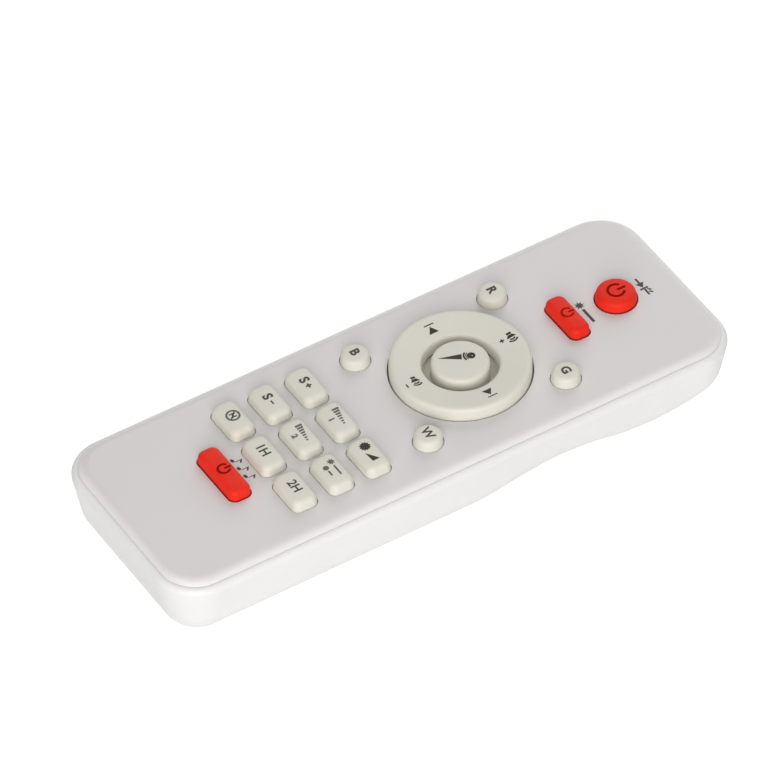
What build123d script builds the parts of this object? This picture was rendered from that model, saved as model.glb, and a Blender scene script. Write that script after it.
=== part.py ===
from build123d import *
import math
import os

os.makedirs("parts", exist_ok=True)

# Infrared remote control of a star projector. Millimetres throughout.
# X runs across the handset, Y towards its LED end and Z up. It rests on Z = 0,
# and the origin is under the middle of its outline.

# ---- casing ----
seam_width = 45.0          # outline of the line where cover and shell meet
seam_length = 129.0
seam_corner = 7.9
shell_bulge = 1.3          # how far the shell stands out past the seam, all round
side_wall = 2.4
side_draft = 10.0          # degrees the sides lean in towards the underside
belly_round = 7.0          # rounding between the shell's underside and its sides
cover_rise = 1.3           # height of the cover above the seam
cover_edge_inset = 1.15    # width of the cover's sloping edge
cover_edge_drop = 1.08
cover_edge_round = 2.6     # softens the slope into the flat top
cover_rim_round = 0.2      # and into the upright rim below it
reveal_height = 0.08       # shadow line between cover and shell
reveal_depth = 0.25
cover_plate = 1.4
lip_thickness = 1.2        # the cover's tongue inside the shell
lip_depth = 2.1
lip_gap = 0.2
stand_wall = 1.0           # board supports, around the size of the cover's posts
stand_root = 0.5           # how far they start below the floor's top
bite = 0.1                 # how far joined shapes reach into each other
sliver = 0.001             # kept back from a fillet that would use up its face

# ---- underside, measured back from the head end of the seam ----
foot_from_head = 19.5      # where the head end rests
scoop_from_head = 41.0     # deepest point of the finger scoop
belly_from_head = 63.0     # where the flat belly begins
scoop_depth = 3.1
head_rise = 5.5            # how far the underside has risen at the head end

# ---- battery bay and door ----
cell_diameter = 10.5
cell_length = 44.5
cell_nub_radius = 1.9
cell_nub_height = 1.0
cell_side_gap = 0.35
cell_under_gap = 0.2
cell_over_gap = 0.3
cell_end_round = 0.4
spring_length = 3.9
spring_radius = 3.3
spring_wire = 0.35         # radius of the wire
spring_turns = 3
spring_end_gap = 0.1
contact_thickness = 0.4
contact_inset = 1.25       # plate's edge, in from the cell's side
contact_tab_width = 2.0
bay_wall = 1.2
door_thickness = 1.2
door_gap = 0.15
door_ledge = 2.0           # how far the door reaches past the bay, under the ledge
door_past_screw = 7.4
door_corner = 1.5
ledge_relief = 0.15
ledge_thickness = 1.0
ledge_margin = 1.5
tongue_inset = 0.5         # tongue's middle, in from the bay's side
tongue_width = 2.6
tongue_reach = 1.6
tongue_thickness = 1.0
tongue_gap = 0.1
tongue_root = 1.4          # where a tongue joins the plate
tongue_side_gap = 0.3
tongue_end_gap = 0.3
tongue_swing_gap = 0.15
latch_width = 12.0
latch_length = 8.0
latch_slot = 0.6
latch_nose_width = 8.0
latch_nose_depth = 1.3
latch_nose_height = 1.4
latch_side_gap = 0.4
latch_end_gap = 0.6
ridge_width = 0.5
ridge_depth = 0.4
ridge_pitch = 1.2
ridge_count = 4
ridge_from_edge = 2.0

# ---- board, mat and the height under the cover ----
board_thickness = 1.0
board_margin = 1.0         # between board and shell wall
board_corner = 5.0
board_head_gap = 3.0       # between board and shell wall at the head end
board_notch_gap = 0.3      # behind the LED
mat_thickness = 0.9
mat_gap = 0.3
ring_mat_gap = 0.4
pill_radius = 1.5
pill_thickness = 0.3
pill_gap = 0.7             # between pill and board at rest
flange_thickness = 0.8
flange_gap = 0.25          # between flange and cover at rest
post_radius = 1.0
post_from_board_edge = 3.4
head_post_to_beam = 5.0
middle_post_to_screw = 2.4
tail_post_to_music = 1.2
end_post_to_mat = 5.0
hole_gap = 0.25

# ---- keys ----
key_gap = 0.2              # around each key in its opening
key_rise = 2.4
key_taper = 5.0            # degrees
key_top_round = 1.0
straight_rise = 0.3        # upright part of a key above the cover
round_flange = 0.8
long_flange = 0.6
lamp_from_head = 13.9
lamp_key_radius = 4.3
beam_from_head = 25.45
beam_key_size = (11.5, 4.6)
music_key_size = (14.3, 4.9)
music_below_grid = 9.18
grid_key_size = (9.6, 5.6)
grid_below_ring = 14.47    # from the ring's lower edge to the first row
row_pitch = 8.5
column_pitch = 11.5
key_corner = 1.6
colour_key_radius = 3.0
colour_key_gap = 3.75      # from the ring's edge to a colour key's edge
colour_key_angle = 50.3

# ---- ring and centre key ----
ring_from_head = 50.75
ring_radius = 14.25
ring_gap = 0.35
ring_rise = 3.0            # outer corner above the cover, before its rounding
ring_dish = 0.95           # fall of the top from the outer to the inner corner
ring_edge_round = 1.0
ring_inner_round = 0.35
ring_inner_top = 7.8       # radius of the well at the top
ring_throat = 7.6          # and at its lower rim, over the centre key's flange
ring_flange = 1.1
ring_flange_thickness = 0.5
ring_flange_gap = 0.75     # room above the ring's flange for its tilt
ring_pill_circle = 12.0
ring_pill_thickness = 0.25
centre_key_radius = 5.9
centre_key_rise = 2.75
centre_key_round = 0.9
centre_flange = 2.0
web_gap = 0.6              # centre key's flange to web
web_width = 1.5
web_thickness = 0.4
web_outer_gap = 0.4

# ---- screw and LED ----
boss_radius = 2.2
boss_clearance = 1.2       # from the ring's flange to the boss
screw_radius = 1.0
screw_length = 8.0
screw_fit = 0.02
screw_head_radius = 1.9
screw_head_height = 1.4
screw_head_round = 0.5
screw_way_gap = 0.2        # around the screw in the tower
screw_end_gap = 0.4        # pilot hole past the screw's end
cross_length = 2.2
cross_width = 0.5
cross_depth = 0.7
screw_seat_height = 5.8    # above the ledge
tower_wall = 0.5
tower_gap = 0.05
boss_gap = 0.1             # between boss and tower
led_radius = 2.5
led_flange_radius = 2.9
led_flange_length = 1.0
led_length = 8.5
led_hole_gap = 0.1
led_room_side = 0.5
led_room_top = 0.3
led_recess = 0.4           # dome behind the end face
led_drop = 2.9             # LED axis below the shell's widest line
lead_size = 0.5
lead_pitch = 2.54
lead_run = 2.4
lead_hole_radius = 0.45
lead_end_gap = 0.1

# ---- parts under the board ----
tab_gap = 0.2
pin_pitch = 1.27
pin_width = 0.4
pin_reach = 1.0
pin_root = 0.2
pin_thickness = 0.25
chip_standoff = 0.1
chip_size = (3.9, 12.0, 1.7)
chip_pins = 9              # on each side
chip_above_ring = 4.0      # along Y, from the ring's middle
transistor_size = (1.6, 2.9, 1.1)
transistor_x = 5.5
transistor_below_lamp = 6.0
tall_parts_above_ring = 6.0
resonator_size = (7.0, 3.0, 4.6)
resonator_x = -9.0
resonator_standoff = 0.4
resonator_round = 1.0
resonator_leg_pitch = 2.5
resonator_leg_radius = 0.3
capacitor_x = 10.0
capacitor_radius = 2.5
capacitor_height = 6.2
capacitor_standoff = 0.2
capacitor_round = 0.4
capacitor_leg_pitch = 2.0
capacitor_leg_radius = 0.25
leg_length = 1.0
resistor_size = (2.0, 1.2, 0.5)
resistor_x = -6.0
resistor_pitch = 3.0
resistor_count = 4
resistor_below_lamp = 2.0

# ---- heights worked out from the stack ----
floor_wall = door_thickness + ledge_relief
cell_z = floor_wall + cell_under_gap + cell_diameter / 2
board_bottom = cell_z + cell_diameter / 2 + cell_over_gap
board_top = board_bottom + board_thickness
pill_bottom = board_top + pill_gap
flange_bottom = pill_bottom + pill_thickness
flange_top = flange_bottom + flange_thickness
plate_bottom = flange_top + flange_gap
cover_top = plate_bottom + cover_plate
seam_z = cover_top - cover_rise
key_top = cover_top + key_rise
ring_top = cover_top + ring_rise
widest_z = seam_z - shell_bulge

# ---- places worked out from the head end ----
half_width = seam_width / 2 + shell_bulge
half_length = seam_length / 2 + shell_bulge
inner_half_width = half_width - side_wall
inner_half_length = half_length - side_wall
head_y = seam_length / 2
foot_y = head_y - foot_from_head
scoop_y = head_y - scoop_from_head
belly_y = head_y - belly_from_head
lamp_y = head_y - lamp_from_head
beam_y = head_y - beam_from_head
ring_y = head_y - ring_from_head
ring_low_y = ring_y - ring_radius
grid_y = ring_low_y - grid_below_ring
music_y = grid_y - 2 * row_pitch - music_below_grid
screw_y = ring_low_y - ring_flange - boss_clearance - boss_radius
colour_reach = ring_radius + colour_key_gap + colour_key_radius
colour_dx = colour_reach * math.cos(math.radians(colour_key_angle))
colour_dy = colour_reach * math.sin(math.radians(colour_key_angle))

# ---- bay and door places ----
tower_radius = boss_radius + tower_wall
bay_head = screw_y - tower_radius - bay_wall
bay_length = cell_length + spring_length + 2 * contact_thickness
bay_tail = bay_head - bay_length
cell_x = cell_diameter / 2 + cell_side_gap
bay_half = cell_x + cell_diameter / 2 + cell_side_gap
opening_half = bay_half + door_ledge
opening_tail = bay_tail + door_ledge
opening_head = screw_y + door_past_screw
tongue_x = bay_half - tongue_inset
contact_width = cell_diameter - 2 * contact_inset

# ---- board and mat places ----
board_half = inner_half_width - board_margin
board_tail = -inner_half_length + board_margin
board_head = inner_half_length - board_head_gap
led_z = widest_z - led_drop
led_tip_y = half_length - led_recess
led_back_y = led_tip_y - led_length
notch_half = led_flange_radius + mat_gap
lip_inner = lip_gap + lip_thickness
mat_half = inner_half_width - lip_inner - mat_gap
mat_corner = seam_corner + shell_bulge - side_wall - lip_inner - mat_gap
mat_tail = -inner_half_length + lip_inner + mat_gap
mat_head = led_back_y - mat_gap
post_x = board_half - post_from_board_edge
post_rows = [beam_y + head_post_to_beam, screw_y - middle_post_to_screw,
             music_y + tail_post_to_music, mat_tail + end_post_to_mat]
hinge_y = opening_tail


def block(x0, x1, y0, y1, z0, z1):
    """A box between two corners."""
    middle = Pos((x0 + x1) / 2, (y0 + y1) / 2, (z0 + z1) / 2)
    return middle * Box(x1 - x0, y1 - y0, z1 - z0)


def slab(x, y, width, length, corner, z0, z1):
    """A plate with rounded corners, centred on x, y."""
    return Pos(x, y, z0) * extrude(RectangleRounded(width, length, corner), z1 - z0)


def post(x, y, radius, z0, z1):
    """An upright cylinder."""
    return Pos(x, y, (z0 + z1) / 2) * Cylinder(radius, z1 - z0)


def rod_y(x, z, radius, y0, y1):
    """A cylinder lying along Y."""
    return Pos(x, (y0 + y1) / 2, z) * Rot(90, 0, 0) * Cylinder(radius, y1 - y0)


def turned(points, x, y, rounds=()):
    """A closed outline of (radius, height) points turned about the upright axis at x, y.
    Rounds lists the points whose corner is rounded, each with its radius."""
    outline = make_face(Polyline(*points, close=True))
    for corner, radius in rounds:
        nearest = outline.vertices().sort_by_distance(Vector(*corner, 0))[0]
        outline = fillet(nearest, radius)
    return Pos(x, y, 0) * revolve(Plane.XZ * outline, Axis.Z)


# ---- casing ----
def above_belly(lift, top):
    """Everything above the underside's curve, which is raised by lift."""
    far = half_length + 5
    flat = Line((-far, lift), (belly_y, lift))
    middle_in = ((belly_y + scoop_y) / 2, lift + scoop_depth / 2)
    middle_out = ((scoop_y + foot_y) / 2, lift + scoop_depth / 2)
    into = TangentArc((belly_y, lift), middle_in, tangent=(1, 0))
    crest = TangentArc(middle_in, (scoop_y, lift + scoop_depth), tangent=into % 1)
    out = TangentArc((scoop_y, lift + scoop_depth), middle_out, tangent=(1, 0))
    landing = TangentArc(middle_out, (foot_y, lift), tangent=out % 1)
    sweep_up = TangentArc((foot_y, lift), (half_length, lift + head_rise), tangent=(1, 0))
    slope = sweep_up % 1
    run_out = (far, lift + head_rise + (far - half_length) * slope.Y / slope.X)
    rest = Polyline((half_length, lift + head_rise), run_out, (far, top), (-far, top), (-far, lift))
    face = make_face(flat + into + crest + out + landing + sweep_up + rest)
    return extrude(Plane.YZ * face, half_width + 5, both=True)


def belly_edges(body, inset):
    """The edges between the underside and the leaning walls."""
    found = []
    for edge in body.edges():
        middle = edge.center()
        size = edge.bounding_box().size
        upright = size.Z > 2 * max(size.X, size.Y)
        across = size.X > 10 and abs(middle.Y) < half_length - inset - belly_round
        if middle.Z < widest_z - 2 and not upright and not across:
            found.append(edge)
    return found


def tray(inset, lift, rounding, top):
    """A solid with the shell's outline, drawn in by inset, over the raised underside."""
    width = 2 * (half_width - inset)
    length = 2 * (half_length - inset)
    corner = seam_corner + shell_bulge - inset
    outline = RectangleRounded(width, length, corner)
    lower = Pos(0, 0, widest_z) * Rot(180, 0, 0) * extrude(outline, widest_z + 1, taper=side_draft)
    body = lower + slab(0, 0, width, length, corner, widest_z, top)
    body = body & above_belly(lift, top)
    return fillet(belly_edges(body, inset), rounding)


def outer_body():
    """The shell's outside, rounded in at the top to the seam."""
    body = tray(0, 0, belly_round, seam_z)
    return fillet(body.edges().group_by(Axis.Z)[-1], shell_bulge - sliver)


def door_opening():
    """The hole for the battery door, through the floor."""
    middle = (opening_tail + opening_head) / 2
    length = opening_head - opening_tail
    return slab(0, middle, 2 * opening_half, length, door_corner + door_gap, -1, floor_wall)


def bay_frame():
    """The ledge that the door closes against, with the bay's walls and the screw tower."""
    z1 = floor_wall + ledge_thickness
    half = opening_half + ledge_margin
    ledge = block(-half, half, opening_tail - ledge_margin, opening_head + ledge_margin,
                  floor_wall, z1)
    box = block(-bay_half - bay_wall, bay_half + bay_wall, bay_tail - bay_wall, bay_head + bay_wall,
                floor_wall, board_bottom)
    tower = post(0, screw_y, tower_radius, floor_wall, board_bottom - tower_gap)
    bay = block(-bay_half, bay_half, bay_tail, bay_head, -1, board_bottom + 1)
    seat = floor_wall + screw_seat_height
    head_way = post(0, screw_y, screw_head_radius + screw_way_gap, -1, seat)
    shank_way = post(0, screw_y, screw_radius + screw_way_gap, seat, board_bottom + 1)
    return ledge + box + tower - bay - head_way - shank_way


def bay_room():
    """The bay's space above the floor, kept clear of the shell's own rounding."""
    return block(-bay_half, bay_half, bay_tail, bay_head, floor_wall + cell_under_gap, board_bottom)


def tongue_notches():
    """Room in the ledge and bay wall for the door's tongues through the door's swing."""
    tongue_top = floor_wall + tongue_gap + tongue_thickness
    reach = math.hypot(tongue_reach, tongue_top) + tongue_swing_gap
    start = hinge_y - tongue_reach - tongue_end_gap
    notches = []
    for side in (-1, 1):
        x = side * tongue_x
        half = tongue_width / 2 + tongue_side_gap
        notches.append(block(x - half, x + half, start, hinge_y + reach, floor_wall, reach))
    return notches


def bottom_shell():
    """Tray with the battery bay, board supports and the hole for the LED."""
    outside = outer_body()
    inside = tray(side_wall, floor_wall, belly_round - side_wall, seam_z + 1)
    shell = outside - inside
    stands = [post(x, y, post_radius + stand_wall, floor_wall - stand_root, board_bottom)
              for x in (-post_x, post_x) for y in (post_rows[0], ring_y)]
    ribs = bay_frame() & outside
    for stand in stands:
        ribs = ribs + (stand & outside)
    shell = shell + ribs - bay_room() - door_opening()
    for notch in tongue_notches():
        shell = shell - notch
    nose = latch_nose_width / 2 + latch_side_gap
    nose_y = opening_head - latch_nose_depth - latch_end_gap
    shell = shell - block(-nose, nose, nose_y, opening_head,
                          floor_wall - bite, floor_wall + ledge_thickness + 1)
    led_way = rod_y(0, led_z, led_radius + led_hole_gap, inner_half_length - 1, half_length + 1)
    return shell - led_way


def top_cover():
    """Plate with a sloping edge, a tongue into the shell, posts and the key openings."""
    crown = slab(0, 0, seam_width, seam_length, seam_corner, seam_z, cover_top)
    rim = crown.edges().group_by(Axis.Z)[-1]
    flat_top = crown.faces().sort_by(Axis.Z)[-1]
    crown = chamfer(rim, cover_edge_inset, cover_edge_drop, reference=flat_top)
    crown = fillet(crown.edges().group_by(Axis.Z)[-1], cover_edge_round)
    rim_z = cover_top - cover_edge_drop
    crown = fillet(crown.edges().filter_by_position(Axis.Z, rim_z - bite, rim_z + sliver), cover_rim_round)
    around = slab(0, 0, seam_width + 1, seam_length + 1, seam_corner, seam_z - 1, seam_z + reveal_height)
    core = slab(0, 0, seam_width - 2 * reveal_depth, seam_length - 2 * reveal_depth,
                seam_corner - reveal_depth, seam_z - 2, seam_z + 1)
    crown = crown - (around - core)
    width = 2 * (inner_half_width - lip_gap)
    length = 2 * (inner_half_length - lip_gap)
    corner = seam_corner + shell_bulge - side_wall - lip_gap
    under = slab(0, 0, width, length, corner, seam_z - lip_depth, seam_z)
    hollow = slab(0, 0, width - 2 * lip_thickness, length - 2 * lip_thickness, corner - lip_thickness,
                  seam_z - lip_depth - 1, plate_bottom)
    cover = crown + (under - hollow)
    for x in (-post_x, post_x):
        for y in post_rows:
            cover = cover + post(x, y, post_radius, board_top, plate_bottom + bite)
    boss_bottom = board_bottom - tower_gap + boss_gap
    boss = post(0, screw_y, boss_radius, boss_bottom, plate_bottom + bite)
    pilot_top = floor_wall + screw_seat_height + screw_length
    pilot = post(0, screw_y, screw_radius + screw_fit, 0, pilot_top)
    cover = cover + boss - pilot
    room_half = notch_half + led_room_side
    led_room = block(-room_half, room_half, led_back_y, half_length,
                     seam_z - lip_depth - 1, led_z + led_radius + led_room_top)
    cover = cover - led_room
    for name, x, y in key_places():
        cover = cover - key_prism(name, x, y, key_gap, 0, plate_bottom - 1, cover_top + 1)
    return cover - post(0, ring_y, ring_radius + ring_gap, plate_bottom - 1, cover_top + 1)


def battery_door():
    """Door plate with two tongues at its hinge edge and a springy latch at the other."""
    y0 = opening_tail + door_gap
    y1 = opening_head - door_gap
    half = opening_half - door_gap
    door = slab(0, (y0 + y1) / 2, 2 * half, y1 - y0, door_corner, 0, door_thickness)
    z0 = floor_wall + tongue_gap
    for side in (-1, 1):
        x = side * tongue_x
        x0, x1 = x - tongue_width / 2, x + tongue_width / 2
        root_y = y0 + tongue_root
        door = door + block(x0, x1, hinge_y - tongue_reach, root_y, z0, z0 + tongue_thickness)
        door = door + block(x0, x1, y0, root_y, door_thickness - bite, z0 + bite)
    for side in (-1, 1):
        x = side * (latch_width + latch_slot) / 2
        x0, x1 = x - latch_slot / 2, x + latch_slot / 2
        door = door - block(x0, x1, y1 - latch_length, y1 + 1, -1, door_thickness + 1)
    nose = latch_nose_width / 2
    door = door + block(-nose, nose, y1 - latch_nose_depth, y1, door_thickness - bite,
                        door_thickness + latch_nose_height)
    for number in range(ridge_count):
        y = y1 - ridge_from_edge - number * ridge_pitch
        door = door - block(-nose, nose, y - ridge_width / 2, y + ridge_width / 2, -1, ridge_depth)
    return door


def case_screw():
    """Self-tapping screw from the bay side up into the cover's boss."""
    seat = floor_wall + screw_seat_height
    shank = post(0, screw_y, screw_radius, seat - bite, seat + screw_length - screw_end_gap)
    head = post(0, screw_y, screw_head_radius, seat - screw_head_height, seat)
    head = fillet(head.edges().group_by(Axis.Z)[0], screw_head_round)
    low = seat - screw_head_height - 1
    high = low + 1 + cross_depth
    long, wide = cross_length / 2, cross_width / 2
    across = block(-long, long, screw_y - wide, screw_y + wide, low, high)
    along = block(-wide, wide, screw_y - long, screw_y + long, low, high)
    return head + shank - across - along


# ---- keys ----
def key_places():
    """Name and place of every key that slides straight down, except the centre key."""
    places = [("lamp_key", 0, lamp_y), ("beam_key", 0, beam_y)]
    places += [("red_key", -colour_dx, ring_y + colour_dy), ("green_key", colour_dx, ring_y + colour_dy)]
    places += [("blue_key", -colour_dx, ring_y - colour_dy), ("white_key", colour_dx, ring_y - colour_dy)]
    rows = [("speed_up_key", "fade_one_key", "brightness_key"),
            ("speed_down_key", "fade_two_key", "beam_light_key"),
            ("timer_off_key", "timer_one_key", "timer_two_key")]
    for row, names in enumerate(rows):
        for column, name in enumerate(names):
            places.append((name, (column - 1) * column_pitch, grid_y - row * row_pitch))
    places.append(("music_key", 0, music_y))
    return places


def key_sketch(name, grow_x, grow_y):
    """Outline of a key, grown by a margin on each side."""
    if name == "lamp_key":
        return Circle(lamp_key_radius + max(grow_x, grow_y))
    if name in ("red_key", "green_key", "blue_key", "white_key"):
        return Circle(colour_key_radius + max(grow_x, grow_y))
    sizes = {"beam_key": beam_key_size, "music_key": music_key_size}
    width, length = sizes.get(name, grid_key_size)
    return RectangleRounded(width + 2 * grow_x, length + 2 * grow_y, key_corner + min(grow_x, grow_y))


def key_prism(name, x, y, grow, flange, z0, z1):
    """Upright prism of a key's outline, grown by grow, and by flange where it has one."""
    if name in ("lamp_key", "red_key", "green_key", "blue_key", "white_key"):
        sketch = key_sketch(name, grow + flange * round_flange, grow + flange * round_flange)
    else:
        sketch = key_sketch(name, grow, grow + flange * long_flange)
    return Pos(x, y, z0) * extrude(sketch, z1 - z0)


def key(name, x, y):
    """Key with a flange under the cover and a tapered, rounded cap above it."""
    flange = key_prism(name, x, y, 0, 1, flange_bottom, flange_top)
    waist = cover_top + straight_rise
    stem = key_prism(name, x, y, 0, 0, flange_bottom, waist)
    cap = Pos(x, y, waist) * extrude(key_sketch(name, 0, 0), key_top - waist, taper=key_taper)
    cap = fillet(cap.edges().group_by(Axis.Z)[-1], key_top_round)
    return flange + stem + cap


def pill(x, y):
    """Conductive pill under a key."""
    return post(x, y, pill_radius, pill_bottom, flange_bottom)


def nav_ring():
    """Four-way ring: dished top, rounded edges, flange and a well over the centre key's flange."""
    bottom = plate_bottom - ring_flange_gap - ring_flange_thickness
    flange_z = bottom + ring_flange_thickness
    rim_z = flange_top + ring_flange_gap
    pocket = centre_key_radius + centre_flange + web_gap + web_width + web_outer_gap
    outer_corner = (ring_radius, ring_top)
    inner_corner = (ring_inner_top, ring_top - ring_dish)
    points = [(pocket, bottom), (ring_radius + ring_flange, bottom), (ring_radius + ring_flange, flange_z),
              (ring_radius, flange_z), outer_corner, inner_corner, (ring_throat, rim_z), (pocket, rim_z)]
    rounds = [(outer_corner, ring_edge_round), (inner_corner, ring_inner_round)]
    return turned(points, 0, ring_y, rounds)


def ring_web():
    """Thin web inside the ring, which lets it tilt across and along."""
    inner = centre_key_radius + centre_flange + web_gap
    z0 = plate_bottom - ring_flange_gap
    points = [(inner, z0), (inner + web_width, z0), (inner + web_width, z0 + web_thickness),
              (inner, z0 + web_thickness)]
    return turned(points, 0, ring_y)


def ring_pills():
    """Four conductive pills under the ring, one at each direction."""
    top = plate_bottom - ring_flange_gap - ring_flange_thickness
    pills = []
    for quarter in range(4):
        angle = math.radians(90 * quarter)
        x = ring_pill_circle * math.cos(angle)
        y = ring_y + ring_pill_circle * math.sin(angle)
        pills.append(post(x, y, pill_radius, top - ring_pill_thickness, top))
    return Compound(children=pills)


def centre_key():
    """Round key inside the ring, kept in by the lower rim of the ring's well."""
    top = cover_top + centre_key_rise
    radius = centre_key_radius + centre_flange
    points = [(0, flange_bottom), (radius, flange_bottom), (radius, flange_top),
              (centre_key_radius, flange_top), (centre_key_radius, top), (0, top)]
    cap = turned(points, 0, ring_y)
    return fillet(cap.edges().group_by(Axis.Z)[-1], centre_key_round)


def keypad_mat():
    """Silicone sheet on the board, with a hole around every flange, post and the boss."""
    width = 2 * mat_half
    mat = slab(0, (mat_tail + mat_head) / 2, width, mat_head - mat_tail, mat_corner, board_top,
               board_top + mat_thickness)
    z0, z1 = board_top - 1, board_top + mat_thickness + 1
    for name, x, y in key_places():
        mat = mat - key_prism(name, x, y, mat_gap, 1, z0, z1)
    mat = mat - post(0, ring_y, ring_radius + ring_flange + ring_mat_gap, z0, z1)
    mat = mat - post(0, screw_y, boss_radius + hole_gap, z0, z1)
    for x in (-post_x, post_x):
        for y in post_rows:
            mat = mat - post(x, y, post_radius + hole_gap, z0, z1)
    return mat


# ---- board and what is on it ----
def tab_places():
    """Where the battery contacts' solder tabs pass through the board."""
    y_head = bay_head - contact_thickness / 2
    y_tail = bay_tail + contact_thickness / 2
    return [(-cell_x, y_head), (cell_x, y_head), (0, y_tail)]


def circuit_board():
    """Board with holes for posts, boss, tabs and leads, and a notch round the LED."""
    board = slab(0, (board_tail + board_head) / 2, 2 * board_half, board_head - board_tail, board_corner,
                 board_bottom, board_top)
    z0, z1 = board_bottom - 1, board_top + 1
    board = board - block(-notch_half, notch_half, led_back_y - board_notch_gap, board_head + 1, z0, z1)
    board = board - post(0, screw_y, boss_radius + hole_gap, z0, z1)
    for x, y in tab_places():
        half_x = contact_tab_width / 2 + tab_gap
        half_y = contact_thickness / 2 + tab_gap
        board = board - block(x - half_x, x + half_x, y - half_y, y + half_y, z0, z1)
    for side in (-1, 1):
        board = board - post(side * lead_pitch / 2, led_back_y - lead_run, lead_hole_radius, z0, z1)
    return board


def ir_led():
    """Round LED with a flange and a domed end."""
    barrel = rod_y(0, led_z, led_radius, led_back_y, led_tip_y - led_radius)
    dome = Pos(0, led_tip_y - led_radius, led_z) * Sphere(led_radius)
    flange = rod_y(0, led_z, led_flange_radius, led_back_y, led_back_y + led_flange_length)
    return barrel + dome + flange


def led_leads():
    """Two leads from the LED's back, bent up into the board."""
    half = lead_size / 2
    leads = []
    for side in (-1, 1):
        x = side * lead_pitch / 2
        y = led_back_y - lead_run
        lead = block(x - half, x + half, y - half, led_back_y, led_z - half, led_z + half)
        lead = lead + block(x - half, x + half, y - half, y + half, led_z - half,
                            board_top - lead_end_gap)
        leads.append(lead)
    return Compound(children=leads)


def chip(x, y, size, pins):
    """Flat chip under the board, with a row of bent pins on each side."""
    width, length, height = size
    body = block(x - width / 2, x + width / 2, y - length / 2, y + length / 2, board_bottom - height,
                 board_bottom - chip_standoff)
    for side in (-1, 1):
        for pin in range(pins):
            pin_y = y + (pin - (pins - 1) / 2) * pin_pitch
            ends = sorted((x + side * (width / 2 - pin_root), x + side * (width / 2 + pin_reach)))
            body = body + block(ends[0], ends[1], pin_y - pin_width / 2, pin_y + pin_width / 2,
                                board_bottom - pin_thickness, board_bottom)
    return body


def controller_chip():
    """Remote-control encoder."""
    return chip(0, ring_y + chip_above_ring, chip_size, chip_pins)


def transistor():
    """LED driver."""
    return chip(transistor_x, lamp_y - transistor_below_lamp, transistor_size, 2)


def resonator():
    """Ceramic resonator hanging under the board on three legs."""
    x, y = resonator_x, ring_y + tall_parts_above_ring
    width, length, height = resonator_size
    top = board_bottom - resonator_standoff
    body = block(x - width / 2, x + width / 2, y - length / 2, y + length / 2, top - height, top)
    body = fillet(body.edges().filter_by(Axis.Z), resonator_round)
    for step in (-resonator_leg_pitch, 0, resonator_leg_pitch):
        body = body + post(x + step, y, resonator_leg_radius, board_bottom - leg_length, board_bottom)
    return body


def capacitor():
    """Electrolytic can standing under the board."""
    x, y = capacitor_x, ring_y + tall_parts_above_ring
    top = board_bottom - capacitor_standoff
    can = post(x, y, capacitor_radius, top - capacitor_height, top)
    can = fillet(can.edges().group_by(Axis.Z)[0], capacitor_round)
    for step in (-capacitor_leg_pitch / 2, capacitor_leg_pitch / 2):
        can = can + post(x + step, y, capacitor_leg_radius, board_bottom - leg_length, board_bottom)
    return can


def resistors():
    """Small flat resistors in a row under the board."""
    width, length, height = resistor_size
    chips = []
    for number in range(resistor_count):
        y = lamp_y - resistor_below_lamp - number * resistor_pitch
        chips.append(block(resistor_x - width / 2, resistor_x + width / 2, y - length / 2, y + length / 2,
                           board_bottom - height, board_bottom))
    return Compound(children=chips)


# ---- cells and their contacts ----
def cell(side):
    """AAA cell. The one on the left has its nub at the head end, the one on the right at the tail."""
    x = side * cell_x
    body_length = cell_length - cell_nub_height
    if side < 0:
        start = bay_head - contact_thickness - cell_length
        body = rod_y(x, cell_z, cell_diameter / 2, start, start + body_length)
        nub = rod_y(x, cell_z, cell_nub_radius, start + body_length - bite, start + cell_length)
    else:
        start = bay_tail + contact_thickness
        body = rod_y(x, cell_z, cell_diameter / 2, start + cell_nub_height, start + cell_length)
        nub = rod_y(x, cell_z, cell_nub_radius, start, start + cell_nub_height + bite)
    ends = body.edges().filter_by(GeomType.CIRCLE)
    return fillet(ends, cell_end_round) + nub


def coil(side):
    """Wire coil between a cell's flat end and its contact plate."""
    height = spring_length - 2 * spring_wire - spring_end_gap
    path = Helix(height / spring_turns, height, spring_radius)
    section = Plane(origin=path @ 0, z_dir=path % 0) * Circle(spring_wire)
    wire = sweep(section, path=path)
    if side < 0:
        turn = Pos(side * cell_x, bay_tail + contact_thickness + spring_wire, cell_z) * Rot(-90, 0, 0)
    else:
        turn = Pos(side * cell_x, bay_head - contact_thickness - spring_wire, cell_z) * Rot(90, 0, 0)
    return turn * wire


def battery_springs():
    """A coil at the tail for the left cell and one at the head for the right cell."""
    return Compound(children=[coil(-1), coil(1)])


def battery_contacts():
    """One plate across the tail end of the bay and one at the head end for each cell."""
    half = contact_width / 2
    tab = contact_tab_width / 2
    low, high = cell_z - half, cell_z + half
    top = board_top - lead_end_gap
    head = bay_head - contact_thickness
    tail = bay_tail + contact_thickness
    plates = []
    for x in (-cell_x, cell_x):
        plate = block(x - half, x + half, head, bay_head, low, high)
        plates.append(plate + block(x - tab, x + tab, head, bay_head, high - bite, top))
    link = block(-cell_x - half, cell_x + half, bay_tail, tail, low, high)
    plates.append(link + block(-tab, tab, bay_tail, tail, high - bite, top))
    return Compound(children=plates)


def write(name, shape):
    """Write one node's solids to its own file."""
    export_step(shape, "parts/" + name + ".step")


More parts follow.
